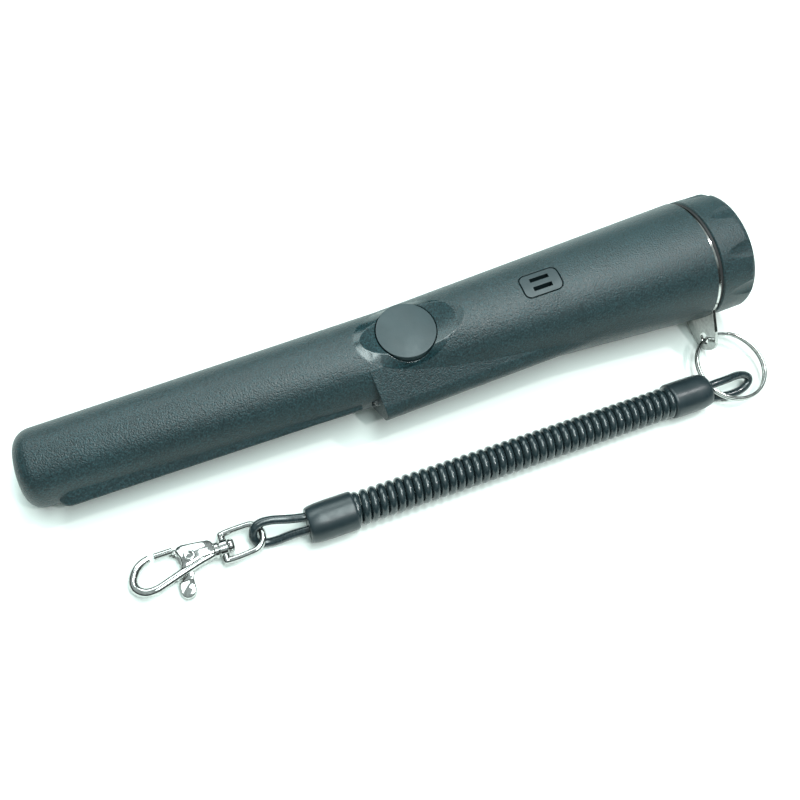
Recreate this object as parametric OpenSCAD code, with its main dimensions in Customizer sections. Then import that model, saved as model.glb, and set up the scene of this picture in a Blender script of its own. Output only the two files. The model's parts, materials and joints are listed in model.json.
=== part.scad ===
// Pinpointer probe with a coiled lanyard, lying on a flat surface.
// The probe's axis runs along +X from the tip to the battery cap, its scraping blade points to -Y
// and its power button to +Z. The lanyard lies beside it on the -Y side.

/* [Casing] */
// Length of the casing from the tip to the washer seat
casing_l = 210.7; // [205:0.1:216]
// Outer radius of the tube just behind the rounded tip
tip_r = 11.3; // [10.8:0.1:11.6]
// Outer radius where the handle starts to flare
mid_r = 13.6; // [13.4:0.1:14]
// Outer radius at the rear end of the casing
rear_r = 19.4; // [19.2:0.1:19.8]
// Distance from the tip to the start of the flare
flare_x = 108; // [104:1:112]
// Rounding radius of the tip
nose_r = 5; // [3:0.5:6]
// Wall thickness
wall = 1.9; // [1.6:0.1:2]

/* [Blade and lamp housing] */
// Distance of the scraping blade's outer edge from the axis at the housing
blade_reach = 14.1; // [13.8:0.1:14.6]
// Thickness of the scraping blade
blade_w = 7; // [6:0.1:7.4]
// Distance from the tip to the flat face of the lamp housing
step_x = 99.2; // [98:0.1:101]
// Rounding radius of the housing's outer ridge
ridge_r = 5.2; // [5:0.1:5.6]
// Distance of the ridge's centre from the probe's axis at the flat face
ridge_y = 14.2; // [14:0.1:14.8]

/* [Controls] */
// Distance from the tip to the middle of the power button
button_x = 113.4; // [112:0.2:115]
// Radius of the power button
button_r = 8.9; // [8.5:0.1:9.2]
// Travel of the power button
button_travel = 0.8; // [0.4:0.1:0.8]
// Length of the dished recess around the button
dish_l = 30.6; // [28:0.2:32]
// Depth of the dished recess
dish_depth = 2.2; // [1.8:0.1:2.3]
// Distance from the tip to the middle of the speaker insert
speaker_x = 156.4; // [154:0.2:157]
// Length of the speaker insert along the probe
speaker_l = 12; // [11:0.1:13]
// Width of the speaker insert
speaker_w = 7.4; // [7:0.1:8]

/* [Battery cap] */
// Length of the battery cap
cap_l = 12.4; // [12.2:0.1:14]
// Radius of the battery cap at the washer
cap_r = 19.3; // [19.1:0.1:19.5]
// Number of finger flutes on the cap's rim
flute_count = 9; // [7:1:12]

/* [Lanyard] */
// Outer radius of the coiled cord
coil_r = 4.95; // [4.7:0.05:5.2]
// Outer radius of the two crimp sleeves
sleeve_r = 5.5; // [5.3:0.1:5.8]
// Diameter of the cord itself
cord_d = 2.5; // [2.3:0.1:2.5]
// Distance of the coil's axis from the probe's axis
coil_y = 38.6; // [38:0.1:40]
// Radius of the split ring at the middle of its wire
ring_r = 11.3; // [11.2:0.1:11.4]

/* [Hidden] */

// Middle of the footprint of the probe and its washer, measured from the tip and the axis
mid_x = 112.72;
mid_y = -3.96;

// The probe rests on its tip rounding and on the rear edge of the casing, so its axis leans up
rest_rise = rear_r - (tip_r - nose_r);
rest_run = casing_l - nose_r;
lean = atan(rest_rise / rest_run) - asin(nose_r / norm([rest_run, rest_rise]));
seat_z = nose_r * (1 - sin(lean)) + (tip_r - nose_r) * cos(lean);

flare = (rear_r - mid_r) / (casing_l - flare_x);
ridge_lean = 2;
step_lean = 9;
neck_r = 16.9;
neck_bore = 15.5;
washer_x0 = casing_l + 0.1;
washer_x1 = washer_x0 + 1;
cap_x0 = washer_x1 + 1;
cap_x1 = cap_x0 + cap_l;
cap_bore = 17.9;
cap_end = 2.6;

board_top = -1;
board_bottom = -2.6;
led_y = -13.1;
motor_z = -6.6;
weight_x = 151;
battery_x0 = 175.2;

// Ear of the washer
ear_angle = 31.5;
ear_hole_u = 26.3;
ear_hole_r = 2.1;

// Split ring, in the frame of the table below
ring_wire = 0.55;
ring_c = [214.65, -33.75, 4.9];
ring_dir = -74.3;
ring_tilt = 5.3;

// Lanyard
coil_z = sleeve_r;
clasp_y = -36;
clasp_z = 3;
sleeve_a = [188, 201.6];
sleeve_b = [70.5, 84.4];
// Route of the loop through the split ring, from the sleeve and back to it
ring_route = [
    [201.1, -38.5, 7.2], [204.5, -38.4, 7.45], [209, -38.3, 7.3], [213.6, -37.8, 6.3],
    [217, -37.9, 4.8], [218.9, -38.8, 3.4], [218.2, -40.1, 2.2], [215.8, -41.1, 1.6],
    [212.4, -41.5, 1.4], [208.4, -41.2, 1.38], [204.6, -40.5, 1.5], [201.1, -39.7, 2.5]];
// Route of the loop through the eye of the clasp, from the sleeve and back to it
clasp_route = [
    [71, -36.3, 6.3], [66, -35.2, 6.2], [61.5, -34, 6.4], [58.3, -33.7, 6.4], [56.3, -34.3, 6],
    [55.5, -35.4, 4.4], [55.5, -36.5, 3], [56.3, -37.4, 1.8], [58, -37.9, 1.4], [61, -38.4, 1.5],
    [66, -38.7, 3], [71, -39.3, 4.3]];
// Middle line of the hook's rod, from its mouth to the swivel
hook_route = [
    [27, -32.12, 3], [25.1, -32.7, 3], [23, -34.2, 3], [21.7, -36.7, 3], [22.1, -39.1, 3],
    [24.2, -40.8, 3], [27.2, -41, 3], [31, -40, 3], [35.5, -38.7, 3], [40, -37.5, 3], [44.3, -36.6, 3]];
hook_rod_r = 1.25;
rivet_at = [37.5, -35.3];
rivet_r = 0.9;

// Places a part drawn about the probe's own axis
module on_probe() {
    translate([-mid_x, -mid_y, seat_z]) rotate([0, -lean, 0]) children();
}

// Places a part drawn in the frame of the table
module on_table() {
    translate([-mid_x, -mid_y, 0]) children();
}

// Cylinder along X
module xcyl(r, x0, x1, y = 0, z = 0, fn = 64) {
    translate([x0, y, z]) rotate([0, 90, 0]) cylinder(r = r, h = x1 - x0, $fn = fn);
}

// Body turned about X, from a list of [radius, x] points
module turned(points, fn = 96) {
    rotate([0, 90, 0]) rotate_extrude($fn = fn) polygon(points);
}

// Section drawn in Y and Z, drawn out along X
module along_x(x0, x1) {
    translate([x0, 0, 0]) rotate([90, 0, 90]) linear_extrude(x1 - x0) children();
}

// Block between two corners
module block(a, b) {
    translate(a) cube(b - a);
}

// Plate in X and Y with a given base and top
module plate(points, z0, z1) {
    translate([0, 0, z0]) linear_extrude(z1 - z0) polygon(points);
}

// Round rod between two points
module rod(a, b, r, fn = 24) {
    d = b - a;
    translate(a) rotate([0, acos(d[2] / norm(d)), atan2(d[1], d[0])]) cylinder(r = r, h = norm(d), $fn = fn);
}

// Wire through a list of points
module wire(points, r) {
    for (i = [0 : len(points) - 2]) rod(points[i], points[i + 1], r);
    for (i = [1 : len(points) - 2]) translate(points[i]) sphere(r = r, $fn = 24);
}

// Rounded square bar in Y and Z with its corner radius
module rounded_bar(x0, x1, w, h, r) {
    block([x0, -w / 2 + r, -h / 2], [x1, w / 2 - r, h / 2]);
    block([x0, -w / 2, -h / 2 + r], [x1, w / 2, h / 2 - r]);
    for (sy = [-1, 1], sz = [-1, 1]) xcyl(r, x0, x1, sy * (w / 2 - r), sz * (h / 2 - r), 32);
}

// Points on a smooth curve through a route, with a number of steps between its points
function curve_point(a, b, c, d, t) =
    0.5 * (2 * b + t * (c - a) + t * t * (2 * a - 5 * b + 4 * c - d) + t * t * t * (3 * b - a - 3 * c + d));
function smooth(p, steps) = [
    for (i = [0 : len(p) - 2], s = [0 : steps - 1])
        curve_point(p[max(i - 1, 0)], p[i], p[i + 1], p[min(i + 2, len(p) - 1)], s / steps),
    p[len(p) - 1]];

// Direction of a route at one of its points
function unit(v) = v / norm(v);
function heading(p, i) = unit(p[min(i + 1, len(p) - 1)] - p[max(i - 1, 0)]);
// Side vector carried along a route without twisting
function side_at(p, i) =
    i == 0 ? unit(cross(heading(p, 0), [0.1, 0.2, 1]))
           : let (s = side_at(p, i - 1), h = heading(p, i)) unit(s - (s * h) * h);

// Round tube swept along a list of points
module swept_tube(p, r, sides) {
    rings = len(p);
    points = [
        for (i = [0 : rings - 1])
            let (s = side_at(p, i), u = cross(heading(p, i), s))
            for (k = [0 : sides - 1]) p[i] + r * (cos(360 * k / sides) * s + sin(360 * k / sides) * u)];
    walls = [
        for (i = [0 : rings - 2], k = [0 : sides - 1])
            let (a = i * sides + k, b = i * sides + (k + 1) % sides)
            [a, b, b + sides, a + sides]];
    first = [for (k = [0 : sides - 1]) sides - 1 - k];
    last = [for (k = [0 : sides - 1]) (rings - 1) * sides + k];
    polyhedron(points, concat([first], walls, [last]), convexity = 4);
}

// Outer radius of the casing at a distance from the tip
function casing_r(x) =
    x < flare_x ? tip_r + (mid_r - tip_r) * (x - nose_r) / (flare_x - nose_r)
                : mid_r + flare * (x - flare_x);

// Solid of the casing's round form, set in from the outer skin
module round_form(inset, x1) {
    r = nose_r - min(inset, nose_r - 1);
    turned(concat(
        [[0, inset]],
        [for (a = [90 : -10 : 0]) [tip_r - inset - r + r * cos(a), inset + r - r * sin(a)]],
        [[mid_r - inset, flare_x], [casing_r(x1) - inset, x1], [0, x1]]));
}

// Section of the lamp housing: a ridge joined to the tube by two tangent flanks
module housing_section() {
    root_r = mid_r;
    a = asin((root_r - ridge_r) / ridge_y);
    flank = [root_r * [-sin(a), cos(a)], [-ridge_y, 0] + ridge_r * [-sin(a), cos(a)]];
    translate([-ridge_y, 0]) circle(r = ridge_r, $fn = 96);
    polygon([[0, 0], flank[0], flank[1], [flank[1][0], -flank[1][1]], [flank[0][0], -flank[0][1]]]);
}

// Lamp housing: its front face leans back a little towards the outer edge
module housing() {
    intersection() {
        translate([step_x, 0, 0]) rotate([0, 0, ridge_lean]) along_x(-4, 92) housing_section();
        block([step_x, -40, -20], [casing_l, 0, 20]);
        translate([step_x, -8, 0]) rotate([0, 0, step_lean]) block([0, -40, -20], [130, 20, 20]);
    }
}

// Scraping blade: a long ridge with a thin edge and a rounded front end
module blade() {
    half = blade_w / 2;
    translate([12, -blade_reach, 0]) {
        along_x(0, step_x - 16) polygon([
            [8, -half], [3.6, -half], [0.25, -0.5], [0, 0], [0.25, 0.5], [3.6, half], [8, half]]);
        translate([0, 3.6, 0]) rotate_extrude($fn = 48)
            polygon([[0, -half], [3.35, -0.5], [3.6, 0], [3.35, 0.5], [0, half]]);
    }
}

module button_hole() {
    translate([button_x, 0, 0]) cylinder(r = button_r + 0.3, h = 30, $fn = 72);
}

module dish() {
    x = button_x - 0.6;
    r = (pow(dish_l / 2, 2) + pow(dish_depth, 2)) / (2 * dish_depth);
    translate([x, 0, casing_r(x) - dish_depth + r]) sphere(r = r, $fn = 180);
}

// Room inside the casing: its roof is lower around the button, under the dish
module inside() {
    difference() {
        round_form(wall, casing_l + 1);
        block([button_x - 18, -20, 9.7], [button_x + 18, 20, 20]);
    }
}

// Upright bar with rounded corners, centred at the speaker
module speaker_bar(l, w, r, z0, z1) {
    translate([speaker_x, 0, z0]) {
        translate([-l / 2 + r, -w / 2, 0]) cube([l - 2 * r, w, z1 - z0]);
        translate([-l / 2, -w / 2 + r, 0]) cube([l, w - 2 * r, z1 - z0]);
        for (sx = [-1, 1], sy = [-1, 1])
            translate([sx * (l / 2 - r), sy * (w / 2 - r), 0]) cylinder(r = r, h = z1 - z0, $fn = 32);
    }
}

module casing() {
    difference() {
        union() {
            round_form(0, casing_l);
            housing();
            blade();
        }
        inside();
        dish();
        button_hole();
        speaker_bar(speaker_l + 0.7, speaker_w + 0.7, 2.2, 8, 22);
        translate([step_x, -ridge_y, 0]) rotate([0, 0, ridge_lean]) xcyl(3.4, 2.6, 50);
        xcyl(1.55, step_x - 1, step_x + 8, led_y, 0, 48);
    }
}

module upper_casing() {
    color("#34484c") on_probe() intersection() {
        casing();
        block([-5, -30, 0], [240, 30, 30]);
    }
}

module lower_casing() {
    color("#2f4246") on_probe() intersection() {
        casing();
        block([-5, -30, -30], [240, 30, 0]);
    }
}

module threaded_neck() {
    color("#26282a") on_probe() difference() {
        union() {
            xcyl(neck_r - 0.2, 199.5, casing_l, fn = 96);
            xcyl(neck_r, casing_l, casing_l + 10.4, fn = 96);
        }
        xcyl(neck_bore, 199, casing_l + 11, fn = 96);
    }
}

// One raised thread of two turns and a half around the neck
module neck_thread() {
    pitch = 2.4;
    steps = 60;
    turns = 2.5;
    base = neck_r + 0.03;
    crest = neck_r + 0.85;
    section = [[base, -0.8], [crest, -0.25], [crest, 0.25], [base, 0.8]];
    points = [
        for (i = [0 : steps], k = [0 : 3])
            let (a = 360 * turns * i / steps, s = section[k])
            [casing_l + 3.4 + turns * pitch * i / steps + s[1], s[0] * cos(a), s[0] * sin(a)]];
    walls = [
        for (i = [0 : steps - 1], k = [0 : 3])
            let (a = 4 * i + k, b = 4 * i + (k + 1) % 4)
            [a, a + 4, b + 4, b]];
    color("#26282a") on_probe()
        polyhedron(points, concat([[0, 1, 2, 3]], walls, [[for (k = [3 : -1 : 0]) 4 * steps + k]]));
}

module power_button() {
    top = casing_r(button_x) - 0.65;
    dome_r = 70;
    color("#3a4c50") on_probe() translate([button_x, 0, 0]) {
        difference() {
            intersection() {
                cylinder(r = button_r, h = 30, $fn = 96);
                translate([0, 0, top - dome_r]) sphere(r = dome_r, $fn = 180);
                translate([-20, -20, 5.2]) cube([40, 40, 20]);
            }
            translate([0, 0, 4]) cylinder(r = button_r - 1.8, h = top - 6, $fn = 72);
        }
        translate([0, 0, 4.3]) cylinder(r = 2.6, h = top - 6.3, $fn = 48);
        difference() {
            translate([0, 0, 5.2]) cylinder(r = 9.9, h = 1, $fn = 72);
            translate([0, 0, 4]) cylinder(r = button_r - 1, h = 4, $fn = 72);
        }
    }
}

// Rubber dome that returns the button
module rubber_dome() {
    color("#6d7476") on_probe() translate([button_x, 0, 0]) rotate_extrude($fn = 64)
        polygon([[4.6, board_top], [6.8, board_top], [6.8, board_top + 0.8], [5.6, board_top + 1.2],
                 [4.2, 4.1], [3.4, 4.1], [4.6, board_top + 1]]);
}

module tact_switch() {
    color("#1d1f20") on_probe() translate([button_x, 0, board_top]) {
        translate([-2.7, -2.7, 0]) cube([5.4, 5.4, 3]);
        cylinder(r = 1.7, h = 4.3, $fn = 32);
    }
}

module speaker_grille() {
    slot_l = 6;
    slot_w = 1.3;
    color("#2d4044") on_probe() difference() {
        union() {
            intersection() {
                speaker_bar(speaker_l, speaker_w, 1.9, 8, 22);
                round_form(0, casing_l);
            }
            intersection() {
                speaker_bar(speaker_l + 3.4, speaker_w + 3.4, 2, 8, 22);
                round_form(wall + 0.05, casing_l);
            }
        }
        round_form(wall + 1, casing_l + 1);
        for (s = [-1, 1]) speaker_slot(slot_l, slot_w, s * 1.5);
    }
}

module speaker_slot(l, w, y) {
    block([speaker_x - l / 2, y - w / 2, 8], [speaker_x + l / 2, y + w / 2, 22]);
}

module buzzer() {
    color("#191a1b") on_probe() translate([speaker_x, 0, board_top]) difference() {
        cylinder(r = 6, h = 7, $fn = 64);
        translate([0, 0, 5.5]) cylinder(r = 1.1, h = 2, $fn = 32);
    }
}

module circuit_board() {
    color("#1f6b3a") on_probe() difference() {
        block([83, -10, board_bottom], [168, 10, board_top]);
        for (x = [87, 164], s = [-1, 1])
            translate([x, s * 7.4, -4]) cylinder(r = 1.1, h = 5, $fn = 32);
    }
}

// Two chips, four capacitors, a crystal can and a row of small resistors
module board_components() {
    z = board_top;
    color("#2a2b2d") on_probe() {
        block([94, -3, z], [101, 3, z + 1.7]);
        block([129, -4.5, z], [139, 1.5, z + 1.9]);
        for (i = [0 : 3]) translate([143.2 + 0.5 * i, 0, 0]) block([-1, 3 - 2.4 * i, z], [0.5, 4.6 - 2.4 * i, z + 0.8]);
        for (p = [[127, 6.2], [133, 6.2]]) translate([p[0], p[1], z]) cylinder(r = 2.3, h = 5, $fn = 32);
        for (p = [[126, -7], [139, 7]]) translate([p[0], p[1], z]) cylinder(r = 1.7, h = 3.6, $fn = 32);
        block([101.6, 5.4, board_bottom - 1.4], [111.6, 9, board_bottom]);
    }
}

// Two ribs that carry the circuit board in the lower half
module board_saddles() {
    color("#2f4246") on_probe() for (x = [90, 161]) difference() {
        intersection() {
            round_form(wall + 0.05, casing_l);
            block([x, -20, -20], [x + 1.8, 20, board_bottom - 0.02]);
        }
        xcyl(3.4, x - 1, x + 3, 0, motor_z, 32);
    }
}

// Disc that divides the battery bay from the electronics
module bulkhead() {
    color("#26282a") on_probe() difference() {
        intersection() {
            round_form(wall + 0.05, casing_l);
            block([169, -20, -20], [170.6, 20, 20]);
        }
        xcyl(5, 168, 172);
    }
}

module ferrite_rod() {
    color("#3d3f42") on_probe() xcyl(4, 8, 78, fn = 64);
}

module coil_bobbin() {
    color("#d8d2c2") on_probe() difference() {
        union() {
            xcyl(5, 14, 54, fn = 64);
            xcyl(8.6, 14, 15.2, fn = 64);
            xcyl(8.6, 52.8, 54, fn = 64);
        }
        xcyl(4.05, 13, 55, fn = 64);
    }
}

module search_winding() {
    color("#b06a35") on_probe() difference() {
        xcyl(7.9, 15.25, 52.75, fn = 64);
        xcyl(5.05, 15, 53, fn = 64);
    }
}

module rod_mount() {
    color("#26282a") on_probe() difference() {
        intersection() {
            round_form(wall + 0.05, casing_l);
            block([63, -20, -20], [66, 20, 20]);
        }
        xcyl(4.05, 62, 67, fn = 64);
        for (s = [-1, 1]) xcyl(1.2, 62, 67, s * 7.6, 0, 32);
    }
}

module coil_leads() {
    color("#b06a35") on_probe() for (s = [-1, 1])
        wire([[54.05, s * 7.6, 0], [84.5, s * 7.6, 0], [85.6, s * 7.6, board_top + 0.05]], 0.5);
}

module led() {
    r = 1.5;
    color("#e8f4f6") on_probe() translate([step_x, led_y, 0]) {
        xcyl(r, 1.1, 4.2, fn = 48);
        translate([1.1, 0, 0]) sphere(r = r, $fn = 48);
        xcyl(1.9, 2.9, 3.7, fn = 48);
    }
}

module vibration_motor() {
    color("#c9cbce") on_probe() difference() {
        xcyl(3, 138, weight_x - 0.4, 0, motor_z, 48);
        xcyl(0.55, 148, weight_x, 0, motor_z, 32);
    }
}

// Off-centre weight on the motor's shaft
module motor_weight() {
    color("#8f8a7c") on_probe() {
        xcyl(0.5, 148.2, weight_x + 4, 0, motor_z, 32);
        difference() {
            xcyl(2.8, weight_x, weight_x + 3.6, 0, motor_z, 48);
            block([weight_x - 1, -4, motor_z + 0.6], [weight_x + 5, 4, motor_z + 4]);
        }
    }
}

module battery() {
    color("#7a1f24") on_probe() rounded_bar(battery_x0, battery_x0 + 45.5, 26, 17.2, 2.2);
}

module battery_terminals() {
    color("#c7cacc") on_probe() {
        xcyl(2.8, battery_x0 - 2.9, battery_x0, 6.3, 0, 48);
        difference() {
            xcyl(3.8, battery_x0 - 2.9, battery_x0, -6.3, 0, 48);
            xcyl(2.7, battery_x0 - 3.5, battery_x0 - 1, -6.3, 0, 48);
        }
    }
}

module battery_connector() {
    color("#1c1d1e") on_probe() {
        rounded_bar(170.7, battery_x0 - 2.95, 25, 12, 2);
        xcyl(2.6, battery_x0 - 2.95, battery_x0 - 1.1, -6.3, 0, 48);
    }
}

module battery_leads() {
    color("#a02020") on_probe() for (s = [-1, 1])
        wire([[170.65, s * 2, 1.5], [165.4, s * 2, 1.5], [162.4, s * 7.4, board_top + 0.6]], 0.6);
}

module cap_gasket() {
    color("#17191a") on_probe() difference() {
        xcyl(18.8, washer_x1 + 0.08, cap_x0 - 0.05, fn = 96);
        xcyl(neck_r + 1, washer_x1 - 1, cap_x0 + 1, fn = 96);
    }
}

module battery_cap() {
    round = 2.5;
    flute_r = 6.5;
    color("#34484c") on_probe() difference() {
        turned(concat(
            [[0, cap_x0], [cap_r - 0.4, cap_x0], [cap_r, cap_x0 + 0.4]],
            [for (a = [0 : 10 : 90]) [cap_r - round + round * cos(a), cap_x1 - round + round * sin(a)]],
            [[0, cap_x1]]));
        xcyl(cap_bore, cap_x0 - 1, cap_x1 - cap_end, fn = 96);
        for (i = [0 : flute_count - 1])
            rotate([360 * i / flute_count + 12, 0, 0])
                translate([cap_x1, 0, -cap_r + 1.05 - flute_r]) rotate([0, 90 - 6.5, 0])
                    translate([0, 0, -12]) cylinder(r = flute_r, h = 16, $fn = 48);
    }
}

// Foam pad in the cap that keeps the battery from rattling
module cap_pad() {
    color("#55595a") on_probe() xcyl(9, battery_x0 + 46.4, cap_x1 - cap_end - 0.02, fn = 64);
}

// Flat washer with a tapered ear for the split ring
module lanyard_washer() {
    ear = [[14, 10.4], [24, 7.4], [28.2, 5.4], [29.6, 4], [30.3, 2], [30.3, -2], [29.6, -4],
           [28.2, -5.4], [24, -7.4], [14, -10.4]];
    color("#d4d8da") on_probe() difference() {
        union() {
            along_x(washer_x0, washer_x1) rotate(180 + ear_angle) translate([0.5, 0]) circle(r = 18.8, $fn = 96);
            along_x(washer_x0, washer_x1) rotate(180 + ear_angle) polygon(ear);
        }
        xcyl(neck_r + 0.08, washer_x0 - 1, washer_x1 + 1, fn = 96);
        rotate([180 + ear_angle, 0, 0]) xcyl(ear_hole_r, washer_x0 - 1, washer_x1 + 1, ear_hole_u, 0, 48);
    }
}

// Two turns of wire lying on each other
module split_ring() {
    color("#d9dddf") on_table() translate(ring_c) rotate([0, 0, ring_dir]) rotate([0, ring_tilt, 0])
        for (s = [-1, 1]) rotate_extrude($fn = 96) translate([ring_r, s * (ring_wire - 0.01)])
            circle(r = ring_wire, $fn = 24);
}

module ring_loop() {
    color("#1b2326") on_table() swept_tube(smooth(ring_route, 2), cord_d / 2, 8);
}

module clasp_loop() {
    color("#1b2326") on_table() swept_tube(smooth(clasp_route, 2), cord_d / 2, 8);
}

// Crimp sleeve with chamfered ends and a step where the coil enters
module sleeve(x0, x1, coil_end) {
    a = coil_end > 0 ? 4 : 1.2;
    b = coil_end > 0 ? 1.2 : 4;
    translate([0, -coil_y, coil_z]) turned([
        [0, x0], [sleeve_r - a * 0.28, x0], [sleeve_r, x0 + a], [sleeve_r, x1 - b],
        [sleeve_r - b * 0.28, x1], [0, x1]]);
}

module ring_sleeve() {
    color("#1e2629") on_table() sleeve(sleeve_a[0], sleeve_a[1], 1);
}

module clasp_sleeve() {
    color("#1e2629") on_table() sleeve(sleeve_b[0], sleeve_b[1], -1);
}

module lanyard_coil() {
    color("#1b2326") on_table() xcyl(coil_r, sleeve_b[1], sleeve_a[0], -coil_y, coil_z);
}

// Eye of the clasp: a half-round bow on a straight bar with a bored boss
module clasp_eye() {
    bow_x = 7.6;
    bow_r = 3.85;
    rod_r = 0.95;
    color("#d6dadc") on_table() translate([46.6, clasp_y, clasp_z]) {
        rotate([0, -5.5, 0]) {
            translate([bow_x, 0, 0]) rotate([0, 0, -90]) rotate_extrude(angle = 180, $fn = 64)
                translate([bow_r, 0]) circle(r = rod_r, $fn = 24);
            for (s = [-1, 1]) xcyl(rod_r, 0.6, bow_x, s * bow_r, 0, 32);
        }
        difference() {
            union() {
                translate([0.4, 4.2, 0]) rotate([90, 0, 0]) cylinder(r = 1.1, h = 8.4, $fn = 32);
                xcyl(2.4, -0.9, 1.5, fn = 48);
            }
            xcyl(1.25, -2, 3, fn = 48);
        }
    }
}

module clasp_hook() {
    color("#d6dadc") on_table() swept_tube(smooth(hook_route, 3), hook_rod_r, 12);
}

// Plate of the clasp with its swivel pin
module clasp_body() {
    outline = [[33.9, -33], [34.6, -32], [36, -31.7], [43.2, -32.7], [43.9, -33.3], [44.5, -34.4],
               [44.5, -37.2], [41, -37], [36.4, -38.2], [34.4, -38.4], [35, -36.9], [34.9, -35]];
    color("#dadddf") on_table() {
        difference() {
            plate(outline, 1.5, 4.5);
            translate([rivet_at[0], rivet_at[1], 0]) cylinder(r = rivet_r + 0.05, h = 8, $fn = 32);
        }
        xcyl(2.3, 44.4, 45.6, clasp_y, clasp_z, 48);
        xcyl(1.2, 45, 48.3, clasp_y, clasp_z, 48);
        xcyl(1.9, 48.2, 49.9, clasp_y, clasp_z, 48);
    }
}

module clasp_rivet() {
    color("#b9bdc0") on_table() translate([rivet_at[0], rivet_at[1], 0]) difference() {
        union() {
            translate([0, 0, 0.05]) cylinder(r = 1.5, h = 0.28, $fn = 32);
            translate([0, 0, 0.1]) cylinder(r = rivet_r, h = 4.5, $fn = 32);
            translate([0, 0, 4.52]) cylinder(r = 1.7, h = 0.4, $fn = 48);
        }
        translate([0, 0, 4.3]) cylinder(r = 0.8, h = 2, $fn = 32);
    }
}

// Spring gate: a lever under the plate, with a thumb tab and a bar that closes the mouth
module clasp_gate() {
    lever = [[32, -32.8], [32.4, -31.4], [33.6, -31.3], [38.4, -33.7], [39.2, -35.3], [38.4, -37],
             [36.8, -41.5], [33.4, -41.5], [34.6, -36.6], [34, -34.2]];
    color("#c9cdd0") on_table() {
        difference() {
            plate(lever, 0.4, 1.3);
            translate([rivet_at[0], rivet_at[1], 0]) cylinder(r = rivet_r + 0.05, h = 3, $fn = 32);
        }
        translate([32.8, -32.1, 0.4]) cylinder(r = 0.8, h = 2.6, $fn = 32);
        translate([32.8, -32.1, 3]) sphere(r = 0.8, $fn = 32);
        xcyl(0.95, 28.4, 32.8, -32.1, 3, 32);
        block([33, -43.8, 0.4], [37.2, -41, 2.6]);
        translate([35.1, -43.8, 0.4]) cylinder(r = 2.1, h = 2.2, $fn = 32);
    }
}

upper_casing();
lower_casing();
threaded_neck();
neck_thread();
power_button();
rubber_dome();
tact_switch();
speaker_grille();
buzzer();
circuit_board();
board_components();
board_saddles();
bulkhead();
ferrite_rod();
coil_bobbin();
search_winding();
rod_mount();
coil_leads();
led();
vibration_motor();
motor_weight();
battery();
battery_terminals();
battery_connector();
battery_leads();
cap_gasket();
battery_cap();
cap_pad();
lanyard_washer();
split_ring();
ring_loop();
ring_sleeve();
lanyard_coil();
clasp_sleeve();
clasp_loop();
clasp_eye();
clasp_hook();
clasp_body();
clasp_rivet();
clasp_gate();
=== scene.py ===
"""Looks of the pinpointer probe and its coiled lanyard: camera, cord, small pieces, materials, light."""
import json
import math

import bpy
import bmesh
from mathutils import Matrix, Vector


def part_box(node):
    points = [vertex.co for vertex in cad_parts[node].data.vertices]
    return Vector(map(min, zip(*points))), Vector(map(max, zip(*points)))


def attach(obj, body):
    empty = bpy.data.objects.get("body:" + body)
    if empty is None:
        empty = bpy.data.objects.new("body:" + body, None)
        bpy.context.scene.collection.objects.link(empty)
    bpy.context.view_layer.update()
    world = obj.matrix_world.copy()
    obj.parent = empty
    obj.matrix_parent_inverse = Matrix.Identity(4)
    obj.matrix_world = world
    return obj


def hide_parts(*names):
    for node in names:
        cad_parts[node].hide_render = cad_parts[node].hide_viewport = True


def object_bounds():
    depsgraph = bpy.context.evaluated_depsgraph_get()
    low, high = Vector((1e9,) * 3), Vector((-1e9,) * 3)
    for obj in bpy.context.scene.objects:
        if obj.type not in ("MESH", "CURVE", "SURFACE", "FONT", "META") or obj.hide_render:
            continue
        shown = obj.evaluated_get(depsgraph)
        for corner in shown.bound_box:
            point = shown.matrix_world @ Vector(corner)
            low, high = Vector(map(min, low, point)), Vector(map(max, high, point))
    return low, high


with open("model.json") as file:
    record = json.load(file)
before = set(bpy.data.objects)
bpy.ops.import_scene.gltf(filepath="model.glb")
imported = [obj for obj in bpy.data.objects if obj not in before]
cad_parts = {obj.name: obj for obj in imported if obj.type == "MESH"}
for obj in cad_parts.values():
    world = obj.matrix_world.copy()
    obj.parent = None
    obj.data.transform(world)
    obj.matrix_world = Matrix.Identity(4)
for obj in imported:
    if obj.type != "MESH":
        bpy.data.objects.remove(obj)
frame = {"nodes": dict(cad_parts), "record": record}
cad_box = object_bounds()
nodes = frame["nodes"]

# ---------------------------------------------------------------- places

# Places are in millimetres from the probe's tip and axis, on the table; MM turns them into metres.
MM = 0.001
CORD_R = 1.25
COIL_Y = -38.6
COIL_END = 84.4


def table_origin():
    """The point that the lanyard's millimetre places are counted from."""
    low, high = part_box("lanyard_coil")
    return Vector((low.x - COIL_END * MM, (low.y + high.y) / 2 - COIL_Y * MM, 0))


ORIGIN = table_origin()


def at(x, y, z):
    """A place in metres from one in table millimetres."""
    return ORIGIN + Vector((x, y, z)) * MM


def centre(node):
    """The middle of a CAD node's box."""
    low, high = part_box(node)
    return (low + high) / 2


# ---------------------------------------------------------------- camera

CAMERA_ANGLES = (-27.57, 56.69, 8.07)
CAMERA_TARGET = (125.9, 36.04, 0)
CAMERA_DISTANCE = 0.31324


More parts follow.
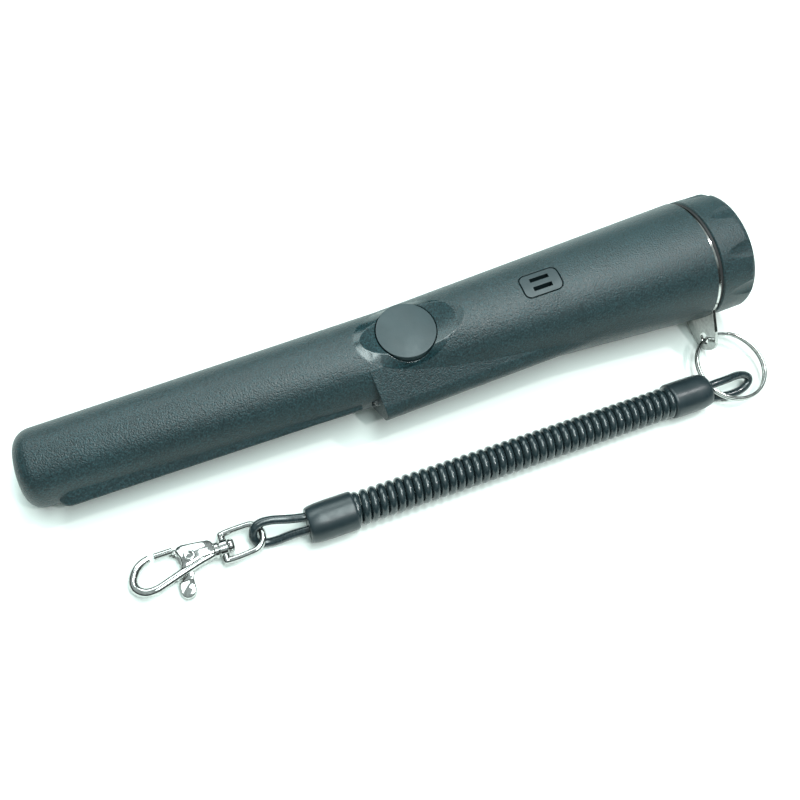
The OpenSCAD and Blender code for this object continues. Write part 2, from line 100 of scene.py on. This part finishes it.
def make_camera():
    """Camera placed by its azimuth, elevation and roll around a point on the table."""
    azimuth, elevation, roll = (math.radians(a) for a in CAMERA_ANGLES)
    back = Vector((math.sin(azimuth) * math.cos(elevation), -math.cos(azimuth) * math.cos(elevation),
                   math.sin(elevation)))
    right = (-back).cross(Vector((0, 0, 1))).normalized()
    up = right.cross(-back)
    side = right * math.cos(roll) + up * math.sin(roll)
    top = -right * math.sin(roll) + up * math.cos(roll)
    camera = bpy.data.objects.new("camera", bpy.data.cameras.new("camera"))
    bpy.context.scene.collection.objects.link(camera)
    turn = Matrix((side, top, back)).transposed().to_4x4()
    camera.matrix_world = Matrix.Translation(at(*CAMERA_TARGET) + back * CAMERA_DISTANCE) @ turn
    camera.data.sensor_width = 36
    camera.data.lens = 41.51
    camera.data.shift_x = 0.0042
    camera.data.shift_y = -0.1595
    camera.data.clip_start = 0.01
    bpy.context.scene.camera = camera


make_camera()

# ---------------------------------------------------------------- mesh helpers


def add_object(name, data):
    piece = bpy.data.objects.new(name, data)
    bpy.context.scene.collection.objects.link(piece)
    return piece


def mesh_piece(name, verts, faces, smooth_angle=35, bevel=0.0, segments=3):
    """A mesh with shared edges smoothed up to an angle, and rounded by a bevel in metres."""
    mesh = bpy.data.meshes.new(name)
    mesh.from_pydata([tuple(v) for v in verts], [], faces)
    bm = bmesh.new()
    bm.from_mesh(mesh)
    bmesh.ops.recalc_face_normals(bm, faces=bm.faces)
    bm.to_mesh(mesh)
    bm.free()
    piece = add_object(name, mesh)
    if bevel:
        rounding = piece.modifiers.new("rounding", "BEVEL")
        rounding.width = bevel
        rounding.segments = segments
        rounding.limit_method = "ANGLE"
        rounding.angle_limit = math.radians(30)
        rounding.harden_normals = True
        apply_modifiers(piece)
    shade(piece, smooth_angle)
    return piece


def apply_modifiers(piece):
    """Replaces a piece's mesh by what its modifiers make of it."""
    bpy.context.view_layer.update()
    baked = bpy.data.meshes.new_from_object(piece.evaluated_get(bpy.context.evaluated_depsgraph_get()))
    piece.modifiers.clear()
    piece.data = baked


def shade(piece, angle):
    """Smooth shading, with edges sharper than the angle kept sharp."""
    piece.data.shade_smooth()
    piece.data.set_sharp_from_angle(angle=math.radians(angle))


def smooth_path(points, steps):
    """Catmull-Rom curve through the points."""
    path = []
    last = len(points) - 1
    for i in range(last):
        a, b, c, d = (points[min(max(k, 0), last)] for k in (i - 1, i, i + 1, i + 2))
        for s in range(steps):
            t = s / steps
            path.append(0.5 * (2 * b + (c - a) * t + (2 * a - 5 * b + 4 * c - d) * t * t
                               + (3 * b - a - 3 * c + d) * t ** 3))
    path.append(points[last])
    return path


def ring_faces(count, sides):
    """Faces between rings of points that follow one another, closed at both ends."""
    faces = []
    for i in range(count - 1):
        for k in range(sides):
            a, b = i * sides + k, i * sides + (k + 1) % sides
            faces.append((a, b, b + sides, a + sides))
    faces.append(tuple(range(sides))[::-1])
    faces.append(tuple((count - 1) * sides + k for k in range(sides)))
    return faces


def tube(name, path, radius, sides=24, ends=True):
    """Round tube along a path; radius is a number or a function of 0..1, and ends asks for domed ends."""
    grow = radius if callable(radius) else (lambda t: radius)
    frames = []
    side = None
    for i, point in enumerate(path):
        ahead = (path[min(i + 1, len(path) - 1)] - path[max(i - 1, 0)]).normalized()
        if side is None:
            side = ahead.cross(Vector((0.1, 0.2, 1))).normalized()
        side = (side - ahead * side.dot(ahead)).normalized()
        frames.append((point, ahead, side, grow(i / (len(path) - 1))))
    rings = []
    if ends:
        point, ahead, side, r = frames[0]
        rings += [(point - ahead * r * math.sin(a), ahead, side, r * math.cos(a))
                  for a in (math.radians(k) for k in (80, 60, 40, 20))]
    rings += frames
    if ends:
        point, ahead, side, r = frames[-1]
        rings += [(point + ahead * r * math.sin(a), ahead, side, r * math.cos(a))
                  for a in (math.radians(k) for k in (20, 40, 60, 80))]
    verts = []
    for point, ahead, side, r in rings:
        across = ahead.cross(side)
        for k in range(sides):
            a = 2 * math.pi * k / sides
            verts.append(point + side * r * math.cos(a) + across * r * math.sin(a))
    return mesh_piece(name, verts, ring_faces(len(rings), sides), 50)


def lathe(name, profile, base, axis=Vector((1, 0, 0)), sides=64, squash=None):
    """Solid turned about an axis, from (distance along, radius) pairs in millimetres."""
    across = axis.orthogonal().normalized()
    other = axis.cross(across)
    verts = []
    for along, r in profile:
        for k in range(sides):
            a = 2 * math.pi * k / sides
            out = across * math.cos(a) + other * math.sin(a)
            reach = r if squash is None else squash(along, r, out)
            verts.append(base + (axis * along + out * reach) * MM)
    return mesh_piece(name, verts, ring_faces(len(profile), sides), 40)


def prism(name, outline, low, high, bevel):
    """Plate with an outline in table millimetres between two heights, with rounded edges."""
    count = len(outline)
    verts = [at(x, y, z) for z in (low, high) for x, y in outline]
    faces = [tuple(range(count))[::-1], tuple(range(count, 2 * count))]
    faces += [(k, (k + 1) % count, count + (k + 1) % count, count + k) for k in range(count)]
    return mesh_piece(name, verts, faces, 40, bevel * MM)


def joined(name, parts):
    """One piece made of several."""
    bm = bmesh.new()
    for part in parts:
        bm.from_mesh(part.data)
    mesh = bpy.data.meshes.new(name)
    bm.to_mesh(mesh)
    bm.free()
    for part in parts:
        bpy.data.objects.remove(part)
    return add_object(name, mesh)


# ---------------------------------------------------------------- cord

RING_ROUTE = [
    (201.1, -38.5, 7.2), (204.5, -38.4, 7.45), (209, -38.3, 7.3), (213.6, -37.8, 6.3),
    (217, -37.9, 4.8), (218.9, -38.8, 3.4), (218.2, -40.1, 2.2), (215.8, -41.1, 1.6),
    (212.4, -41.5, 1.4), (208.4, -41.2, 1.38), (204.6, -40.5, 1.5), (201.1, -39.7, 2.5)]
CLASP_ROUTE = [
    (71, -36.3, 6.3), (66, -35.2, 6.2), (61.5, -34, 6.4), (58.3, -33.7, 6.4), (56.3, -34.3, 6),
    (55.5, -35.4, 4.4), (55.5, -36.5, 3), (56.3, -37.4, 1.8), (58, -37.9, 1.4), (61, -38.4, 1.5),
    (66, -38.7, 3), (71, -39.3, 4.3)]


def coil_points(turns=40, per_turn=24):
    """Turns of the coil from inside the ring's sleeve to inside the clasp's sleeve."""
    low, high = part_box("lanyard_coil")
    middle = centre("lanyard_coil")
    radius = (high.z - low.z) / 2 - CORD_R * MM
    start, end = high.x + MM, low.x - MM
    points = []
    for i in range(turns * per_turn + 1):
        a = 2 * math.pi * i / per_turn
        x = start + (end - start) * i / (turns * per_turn)
        points.append(Vector((x, middle.y + radius * math.sin(a), middle.z - radius * math.cos(a))))
    return points


def cord_path():
    """The cord's whole route: the ring's loop, the coil and the clasp's loop."""
    lead_in = [at(*p) for p in [(196, -38.6, 6.7)] + RING_ROUTE + [(198, -38.9, 4)]]
    coil = coil_points()
    into_coil = [coil[0] + Vector((0.006, -0.0014, 0.0004)), coil[0] + Vector((0.003, -0.001, 0))]
    lead_out = [at(*p) for p in [(80, -37.2, 5.9)] + CLASP_ROUTE + [(77, -39, 4.6)]]
    return smooth_path(lead_in + into_coil, 4) + coil + smooth_path(lead_out, 4)


def make_cord():
    path = cord_path()
    curve = bpy.data.curves.new("lanyard_cord", "CURVE")
    curve.dimensions = "3D"
    curve.bevel_depth = CORD_R * MM
    curve.bevel_resolution = 5
    curve.use_fill_caps = True
    spline = curve.splines.new("POLY")
    spline.points.add(len(path) - 1)
    for point, place in zip(spline.points, path):
        point.co = (*place, 1)
    spline.use_smooth = True
    piece = add_object("lanyard_cord", curve)
    length = sum((b - a).length for a, b in zip(path, path[1:]))
    return piece, path, length


cord, cord_points, cord_length = make_cord()
print("cord length", round(cord_length, 4))

# ---------------------------------------------------------------- sleeves


def sleeve_profile(length, radius, coil_first):
    """Barrel with a long rounded shoulder on the coil's side and a short one on the loop's side."""
    long_side = [(0, 0), (0, 0.86), (0.01, 0.885), (0.05, 0.925), (0.11, 0.955), (0.19, 0.98), (0.28, 0.995),
                 (0.36, 1)]
    short_side = [(0.93, 1), (0.96, 0.995), (0.98, 0.975), (0.992, 0.94), (1, 0.88), (1, 0)]
    profile = [(a * length, r * radius) for a, r in long_side + [(0.64, 1)] + short_side]
    return profile if coil_first else [(length - a, r) for a, r in reversed(profile)]


def crimp(length):
    """Presses the sleeve in a little where it was crimped, above and below."""
    def reach(along, r, out):
        middle = math.exp(-((along / length - 0.55) / 0.22) ** 2)
        return r * (1 - 0.035 * middle * abs(out.z) ** 3)
    return reach


def make_sleeve(node, name, coil_first):
    """Crimp sleeve that fills its CAD node's box."""
    low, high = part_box(node)
    length = (high.x - low.x) / MM
    radius = (high.z - low.z) / 2 / MM
    base = Vector((low.x, (low.y + high.y) / 2, (low.z + high.z) / 2))
    return lathe(name, sleeve_profile(length, radius, coil_first), base, squash=crimp(length))


ring_sleeve = make_sleeve("ring_sleeve", "ring_crimp_sleeve", False)
clasp_sleeve = make_sleeve("clasp_sleeve", "clasp_crimp_sleeve", True)

# ---------------------------------------------------------------- split ring


def make_split_ring():
    """Two turns of wire with a step between them and ground-off free ends."""
    middle = at(214.65, -33.75, 4.9)
    tilt = Matrix.Rotation(math.radians(-74.3), 3, "Z") @ Matrix.Rotation(math.radians(5.3), 3, "Y")
    wire = 0.54
    radius = 11.3
    start = math.radians(143)
    steps = 192
    path = []
    for i in range(steps + 1):
        t = 2 * i / steps
        a = start + 2 * math.pi * t * 0.996
        rise = min(max((t - 0.84) / 0.32, 0), 1)
        z = wire * (2 * (3 * rise ** 2 - 2 * rise ** 3) - 1) * 1.01
        path.append(middle + tilt @ Vector((radius * math.cos(a), radius * math.sin(a), z)) * MM)
    return tube("split_ring_wire", path, wire * MM, 16, ends=False)


split_ring = make_split_ring()

# ---------------------------------------------------------------- clasp

HOOK_ROUTE = [
    (27, -32.12, 3), (25.1, -32.7, 3), (23, -34.2, 3), (21.7, -36.7, 3), (22.1, -39.1, 3),
    (24.2, -40.8, 3), (27.2, -41, 3), (31, -40, 3), (35.5, -38.7, 3), (40, -37.5, 3), (44.3, -36.6, 3)]


def make_hook():
    path = smooth_path([at(*p) for p in HOOK_ROUTE], 10)
    return tube("hook_rod", path, lambda t: (1.02 + 0.22 * min(t * 6, 1)) * MM, ends=False)


def make_clasp_body():
    outline = [(33.9, -33), (34.6, -32), (36, -31.7), (43.2, -32.7), (43.9, -33.3), (44.5, -34.4),
               (44.5, -37.2), (41, -37), (36.4, -38.2), (34.4, -38.4), (35, -36.9), (34.9, -35)]
    plate = prism("hook_plate", outline, 1.5, 4.5, 0.45)
    axis = Vector((1, 0, 0))
    base = at(0, -36, 3)
    collar = lathe("collar", [(44.2, 0), (44.2, 2.0), (44.5, 2.3), (45.3, 2.3), (45.6, 2.0), (45.6, 0)],
                   base, axis)
    pin = lathe("pin", [(45.2, 0), (45.2, 1.2), (48.2, 1.2), (48.2, 1.75), (48.4, 1.9), (49.3, 1.9),
                        (49.8, 1.5), (49.9, 0.9), (49.6, 0.6), (49.6, 0)], base, axis)
    return joined("hook_plate_and_pin", [plate, collar, pin])


def make_eye():
    """Bow of round rod, a straight bar, and the boss that the swivel pin turns in."""
    base = at(46.6, -36, 3)
    lean = Matrix.Rotation(math.radians(-5.5), 3, "Y")
    bow = [(0.2, 3.75, 0), (3, 3.95, 0), (7.2, 3.85, 0)]
    bow += [(7.6 + 3.85 * math.sin(a), 3.85 * math.cos(a), 0) for a in
            (math.radians(k) for k in range(15, 180, 15))]
    bow += [(7.2, -3.85, 0), (3, -3.95, 0), (0.2, -3.75, 0)]
    path = smooth_path([base + lean @ Vector(p) * MM for p in bow], 5)
    rod = tube("bow", path, lambda t: (0.9 + 0.06 * math.sin(math.pi * t)) * MM, 20)
    bar = tube("bar", [base + Vector((0.3, y, 0)) * MM for y in (-3.6, -2, 0, 2, 3.6)], 1.1 * MM, 20)
    boss = lathe("boss", [(-0.9, 1.3), (-0.9, 2.1), (-0.6, 2.4), (1.2, 2.4), (1.5, 2.1), (1.5, 1.3)], base)
    return joined("swivel_bow", [rod, bar, boss])


def make_gate():
    lever = [(32, -32.8), (32.4, -31.4), (33.6, -31.3), (38.4, -33.7), (39.2, -35.3), (38.4, -37),
             (36.8, -41.5), (33.4, -41.5), (34.6, -36.6), (34, -34.2)]
    tab = [(33, -41), (33, -44), (33.3, -44.9), (34, -45.7), (35.1, -45.9), (36.2, -45.7), (36.9, -44.9),
           (37.2, -44), (37.2, -41)]
    plate = prism("lever", lever, 0.4, 1.3, 0.15)
    thumb = prism("thumb", tab, 0.4, 2.6, 0.4)
    post = tube("post", [at(32.8, -32.1, z) for z in (0.9, 1.6, 2.4, 3)], 0.78 * MM, 16)
    bar = tube("bar", [at(x, -32.1, 3) for x in (33.3, 32, 30.8, 29.6, 28.43)], 0.93 * MM, 24, ends=False)
    return joined("gate_lever", [plate, thumb, post, bar])


def make_rivet():
    base = at(37.5, -35.3, 0)
    up = Vector((0, 0, 1))
    head = lathe("head", [(0.3, 0), (0.3, 0.9), (4.5, 0.9), (4.5, 1.6), (4.6, 1.7), (4.75, 1.65), (4.9, 1.4),
                          (4.92, 1.0), (4.85, 0.85), (4.2, 0.75), (4.2, 0)], base, up, 40)
    foot = lathe("foot", [(0.05, 0), (0.05, 1.3), (0.12, 1.5), (0.33, 1.5), (0.33, 0)], base, up, 40)
    return joined("rivet_pin", [head, foot])


hook = make_hook()
clasp_body = make_clasp_body()
eye = make_eye()
gate = make_gate()
rivet = make_rivet()

# ---------------------------------------------------------------- materials


class Nodes:
    """Short names for building a material's nodes."""

    def __init__(self, name):
        self.material = bpy.data.materials.new(name)
        self.material.use_nodes = True
        self.tree = self.material.node_tree
        self.shader = self.tree.nodes["Principled BSDF"]
        self.place = self.add("ShaderNodeTexCoord").outputs["Object"]

    def add(self, kind, **settings):
        node = self.tree.nodes.new(kind)
        for key, value in settings.items():
            setattr(node, key, value)
        return node

    def link(self, a, b):
        self.tree.links.new(a, b)

    def noise(self, scale, detail=3.0, rough=0.5):
        node = self.add("ShaderNodeTexNoise")
        node.inputs["Scale"].default_value = scale
        node.inputs["Detail"].default_value = detail
        node.inputs["Roughness"].default_value = rough
        self.link(self.place, node.inputs["Vector"])
        return node.outputs["Fac"]

    def cells(self, scale):
        node = self.add("ShaderNodeTexVoronoi", feature="SMOOTH_F1")
        node.inputs["Scale"].default_value = scale
        self.link(self.place, node.inputs["Vector"])
        return node.outputs["Distance"]

    def ramp(self, fac, stops):
        node = self.add("ShaderNodeValToRGB")
        elements = node.color_ramp.elements
        while len(elements) < len(stops):
            elements.new(0.5)
        for element, (position, colour) in zip(elements, stops):
            element.position = position
            element.color = (*colour, 1)
        self.link(fac, node.inputs["Fac"])
        return node.outputs["Color"]

    def remap(self, fac, low, high, source=(0.3, 0.7)):
        node = self.add("ShaderNodeMapRange")
        node.inputs["From Min"].default_value, node.inputs["From Max"].default_value = source
        node.inputs["To Min"].default_value, node.inputs["To Max"].default_value = low, high
        self.link(fac, node.inputs["Value"])
        return node.outputs["Result"]

    def sum(self, a, b, weight):
        node = self.add("ShaderNodeMath", operation="MULTIPLY_ADD")
        self.link(b, node.inputs[0])
        node.inputs[1].default_value = weight
        self.link(a, node.inputs[2])
        return node.outputs[0]

    def spot(self, middle, half_length, half_width):
        """1 inside an oval seen from above, 0 outside it."""
        shift = self.add("ShaderNodeVectorMath", operation="SUBTRACT")
        self.link(self.place, shift.inputs[0])
        shift.inputs[1].default_value = middle
        scale = self.add("ShaderNodeVectorMath", operation="MULTIPLY")
        self.link(shift.outputs["Vector"], scale.inputs[0])
        scale.inputs[1].default_value = (1 / half_length, 1 / half_width, 0)
        reach = self.add("ShaderNodeVectorMath", operation="LENGTH")
        self.link(scale.outputs["Vector"], reach.inputs[0])
        return self.remap(reach.outputs["Value"], 1, 0, (0.97, 1.03))

    def mix(self, fac, a, b):
        """Value going from a to b; each is a number or a socket."""
        node = self.add("ShaderNodeMix", data_type="FLOAT")
        self.link(fac, node.inputs["Factor"])
        for socket, value in ((node.inputs["A"], a), (node.inputs["B"], b)):
            if isinstance(value, float):
                socket.default_value = value
            else:
                self.link(value, socket)
        return node.outputs["Result"]

    def bump(self, height, strength, distance, edge=0.0):
        node = self.add("ShaderNodeBump")
        node.inputs["Strength"].default_value = strength
        node.inputs["Distance"].default_value = distance
        self.link(height, node.inputs["Height"])
        if edge:
            rounding = self.add("ShaderNodeBevel", samples=6)
            rounding.inputs["Radius"].default_value = edge
            self.link(rounding.outputs["Normal"], node.inputs["Normal"])
        self.link(node.outputs["Normal"], self.shader.inputs["Normal"])
        return node

    def set(self, **values):
        for key, value in values.items():
            self.shader.inputs[key.replace("_", " ")].default_value = value


def grained_plastic(name, tint, grain, roughness, edge=0.0004, smooth_spot=None):
    """Moulded plastic with a spark-eroded grain; grain is the size of its cells in metres."""
    n = Nodes(name)
    dark = tuple(0.5 * c for c in tint)
    light = tuple(2.0 * c for c in tint)
    fine = n.noise(1 / grain, 2.0, 0.6)
    pits = n.cells(1.3 / grain)
    cloud = n.noise(60, 3)
    n.link(n.ramp(n.sum(fine, cloud, 0.15), [(0.4, dark), (0.58, tint), (0.76, light)]),
           n.shader.inputs["Base Color"])
    rough = n.remap(fine, roughness - 0.08, roughness + 0.12)
    normal = n.bump(n.sum(fine, pits, 0.6), 0.9, grain * 0.3, edge)
    if smooth_spot:
        inside = n.spot(*smooth_spot)
        rough = n.mix(inside, rough, 0.2)
        n.link(n.mix(inside, 0.9, 0.06), normal.inputs["Strength"])
    n.link(rough, n.shader.inputs["Roughness"])
    return n.material


def satin_plastic(name, tint, roughness, scale=900, strength=0.08, edge=0.0002):
    """Smooth moulded plastic with faint flow marks and handling haze."""
    n = Nodes(name)
    dark = tuple(0.9 * c for c in tint)
    light = tuple(1.12 * c for c in tint)
    cloud = n.noise(120, 4)
    n.link(n.ramp(cloud, [(0.35, dark), (0.65, light)]), n.shader.inputs["Base Color"])
    n.link(n.remap(n.noise(400, 4), roughness - 0.05, roughness + 0.06), n.shader.inputs["Roughness"])
    n.bump(n.noise(scale, 4), strength, 0.00008, edge)
    return n.material


def glossy_cord(name, tint):
    """Extruded glossy sheath with slight waviness and dust."""
    n = Nodes(name)
    dust = n.noise(1500, 3)
    n.link(n.ramp(dust, [(0.4, tint), (0.75, tuple(1.8 * c for c in tint))]), n.shader.inputs["Base Color"])
    n.link(n.remap(n.noise(700, 3), 0.16, 0.3), n.shader.inputs["Roughness"])
    n.bump(n.noise(350, 2), 0.12, 0.0001)
    n.set(Coat_Weight=0.25, Coat_Roughness=0.08)
    return n.material


def plated_metal(name, tint, roughness, marks=0.12, edge=0.00015):
    """Bright plating with fine polishing marks and small dings."""
    n = Nodes(name)
    n.set(Metallic=1.0)
    spots = n.noise(900, 4, 0.65)
    dark = tuple(0.5 * c for c in tint)
    light = tuple(0.74 * c for c in tint)
    n.link(n.ramp(spots, [(0.3, dark), (0.6, light)]), n.shader.inputs["Base Color"])
    n.link(n.remap(n.noise(500, 5), roughness * 0.7, roughness * 1.6), n.shader.inputs["Roughness"])
    n.bump(n.noise(2200, 3), marks, 0.00002, edge)
    return n.material


def wound_wire(name, tint, pitch):
    """Turns of enamelled wire around the X axis, with painted shade in the grooves between the turns."""
    n = Nodes(name)
    bands = n.add("ShaderNodeTexWave", wave_type="BANDS", bands_direction="X")
    bands.inputs["Scale"].default_value = 0.314 / pitch
    bands.inputs["Distortion"].default_value = 0.4
    n.link(n.place, bands.inputs["Vector"])
    # The colour is darker where the bands' bump is low: painted shade in the grooves between turns.
    n.link(n.ramp(bands.outputs["Fac"], [(0.1, tuple(0.35 * c for c in tint)), (0.6, tint)]),
           n.shader.inputs["Base Color"])
    n.link(n.remap(n.noise(500, 3), 0.25, 0.4), n.shader.inputs["Roughness"])
    n.bump(bands.outputs["Fac"], 0.8, pitch * 0.4)
    n.set(Metallic=0.6)
    return n.material


def board_laminate(name):
    """Green solder mask with a faint weave and copper tracks under it."""
    n = Nodes(name)
    tracks = n.add("ShaderNodeTexBrick")
    tracks.inputs["Scale"].default_value = 260
    tracks.inputs["Mortar Size"].default_value = 0.03
    tracks.inputs["Color1"].default_value = (0.012, 0.11, 0.045, 1)
    tracks.inputs["Color2"].default_value = (0.016, 0.13, 0.05, 1)
    tracks.inputs["Mortar"].default_value = (0.05, 0.24, 0.08, 1)
    n.link(n.place, tracks.inputs["Vector"])
    n.link(tracks.outputs["Color"], n.shader.inputs["Base Color"])
    n.link(n.remap(n.noise(300, 3), 0.22, 0.38), n.shader.inputs["Roughness"])
    n.bump(tracks.outputs["Fac"], 0.3, 0.00004)
    return n.material


def clear_lens(name):
    """Clear epoxy of the lamp with slight bubbles near its surface."""
    n = Nodes(name)
    n.set(Transmission_Weight=0.9, IOR=1.5)
    n.link(n.ramp(n.noise(1200, 3), [(0.4, (0.86, 0.93, 0.94)), (0.7, (0.97, 0.99, 1.0))]),
           n.shader.inputs["Base Color"])
    n.link(n.remap(n.noise(900, 2), 0.04, 0.12), n.shader.inputs["Roughness"])
    n.bump(n.noise(800, 2), 0.05, 0.00005)
    return n.material


def make_floor_material():
    n = Nodes("studio_floor")
    n.link(n.ramp(n.noise(6, 3), [(0.3, (0.86, 0.91, 0.875)), (0.7, (0.88, 0.925, 0.89))]),
           n.shader.inputs["Base Color"])
    n.link(n.remap(n.noise(40, 4), 0.75, 0.85), n.shader.inputs["Roughness"])
    n.bump(n.noise(2500, 3), 0.05, 0.0001)
    return n.material


CASING = (0.009, 0.026, 0.030)
DAYLIGHT = (0.86, 1, 0.99)
DISH = (centre("power_button") + Vector((-0.0006, 0, 0)), 0.0158, 0.0102)
MATERIALS = {
    "casing_plastic": grained_plastic("grained_abs", CASING, 0.0005, 0.4, smooth_spot=DISH),
    "cap_plastic": grained_plastic("grained_abs_cap", CASING, 0.0005, 0.44),
    "button_plastic": satin_plastic("button_abs", (0.016, 0.034, 0.039), 0.45, 1600, 0.14),
    "grille_plastic": satin_plastic("insert_abs", (0.014, 0.03, 0.035), 0.45, 1500, 0.2),
    "inner_plastic": satin_plastic("inner_nylon", (0.02, 0.021, 0.022), 0.5),
    "bobbin_plastic": satin_plastic("bobbin_nylon", (0.62, 0.57, 0.45), 0.5),
    "dome_rubber": satin_plastic("dome_silicone", (0.2, 0.22, 0.23), 0.65, 700, 0.15),
    "gasket_rubber": satin_plastic("gasket_rubber", (0.012, 0.013, 0.014), 0.7, 1400, 0.3),
    "board_laminate": board_laminate("board_laminate"),
    "component_black": satin_plastic("component_epoxy", (0.02, 0.02, 0.022), 0.45, 2400, 0.25),
    "ferrite": satin_plastic("ferrite_ceramic", (0.035, 0.035, 0.038), 0.4, 1800, 0.3),
    "copper_wire": wound_wire("enamelled_copper", (0.55, 0.22, 0.09), 0.0004),
    "lead_insulation": satin_plastic("lead_sleeve", (0.38, 0.02, 0.015), 0.35),
    "lamp_lens": clear_lens("lamp_epoxy"),
    "motor_can": plated_metal("motor_steel", (0.58, 0.58, 0.6), 0.25),
    "weight_metal": plated_metal("sintered_weight", (0.4, 0.37, 0.31), 0.45, 0.5),
    "battery_sleeve": satin_plastic("battery_print", (0.28, 0.03, 0.03), 0.3),
    "terminal_plate": plated_metal("terminal_tin", (0.74, 0.74, 0.75), 0.22),
    "bright_nickel": plated_metal("bright_nickel", (0.78, 0.79, 0.77), 0.1),
    "cord_plastic": glossy_cord("cord_sheath", (0.012, 0.021, 0.024)),
    "sleeve_plastic": satin_plastic("sleeve_pvc", (0.013, 0.023, 0.027), 0.34, 1100, 0.12),
}

PIECES = [
    (cord, "lanyard", "cord_plastic", ["ring_loop", "lanyard_coil", "clasp_loop"]),
    (ring_sleeve, "lanyard", "sleeve_plastic", ["ring_sleeve"]),
    (clasp_sleeve, "lanyard", "sleeve_plastic", ["clasp_sleeve"]),
    (split_ring, "ring", "bright_nickel", ["split_ring"]),
    (eye, "clasp_bow", "bright_nickel", ["clasp_eye"]),
    (hook, "clasp", "bright_nickel", ["clasp_hook"]),
    (clasp_body, "clasp", "bright_nickel", ["clasp_body"]),
    (rivet, "clasp", "bright_nickel", ["clasp_rivet"]),
    (gate, "gate", "bright_nickel", ["clasp_gate"]),
]


def dress(piece, slot):
    """Gives a piece the material of its slot."""
    piece.data.materials.clear()
    piece.data.materials.append(MATERIALS[slot])


for entry in frame["record"]["subparts"]:
    dress(nodes[entry["node"]], entry["material_slot"])
for piece, body, slot, stood_for in PIECES:
    dress(piece, slot)
    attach(piece, body)
    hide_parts(*stood_for)

# ---------------------------------------------------------------- studio


def area_light(name, place, target, size, power, colour=(1, 1, 1)):
    light = bpy.data.lights.new(name, "AREA")
    light.shape = "RECTANGLE"
    light.size, light.size_y = size
    light.energy = power
    light.color = colour
    lamp = add_object(name, light)
    lamp.location = place
    lamp.rotation_euler = (target - place).to_track_quat("-Z", "Y").to_euler()


def make_floor():
    floor = mesh_piece("studio_floor", [(x, y, 0) for x, y in ((-3, -3), (3, -3), (3, 3), (-3, 3))],
                       [(0, 1, 2, 3)])
    floor.data.materials.append(make_floor_material())


def make_lights():
    """Two soft sources and two small ones for the cord's glints."""
    middle = (cad_box[0] + cad_box[1]) / 2
    area_light("overhead", middle + Vector((0.08, -0.02, 0.8)), middle, (0.7, 0.2), 6.8, DAYLIGHT)
    area_light("window", middle + Vector((-0.1, 0.75, 0.7)), middle, (0.9, 0.5), 6.4, DAYLIGHT)
    for name, place in (("glint_near", (0.2, -0.35, 0.75)), ("glint_far", (0.45, -0.02, 0.7))):
        area_light(name, middle + Vector(place), middle, (0.03, 0.03), 1.6)


def make_world():
    """Surroundings that are dark near the horizon and pale overhead."""
    world = bpy.data.worlds.new("studio_world")
    bpy.context.scene.world = world
    world.use_nodes = True
    tree = world.node_tree
    coordinates = tree.nodes.new("ShaderNodeTexCoord")
    split = tree.nodes.new("ShaderNodeSeparateXYZ")
    ramp = tree.nodes.new("ShaderNodeValToRGB")
    stops = [(0.0, 0.45), (0.05, 0.04), (0.48, 0.07), (0.66, 0.5), (1.0, 0.6)]
    while len(ramp.color_ramp.elements) < len(stops):
        ramp.color_ramp.elements.new(0.5)
    for element, (position, level) in zip(ramp.color_ramp.elements, stops):
        element.position = position
        element.color = tuple(level * c for c in DAYLIGHT) + (1,)
    tree.links.new(coordinates.outputs["Generated"], split.inputs["Vector"])
    tree.links.new(split.outputs["Z"], ramp.inputs["Fac"])
    tree.links.new(ramp.outputs["Color"], tree.nodes["Background"].inputs["Color"])
    tree.nodes["Background"].inputs["Strength"].default_value = 1.0


make_floor()
make_lights()
make_world()
bpy.context.scene.view_settings.view_transform = "Standard"
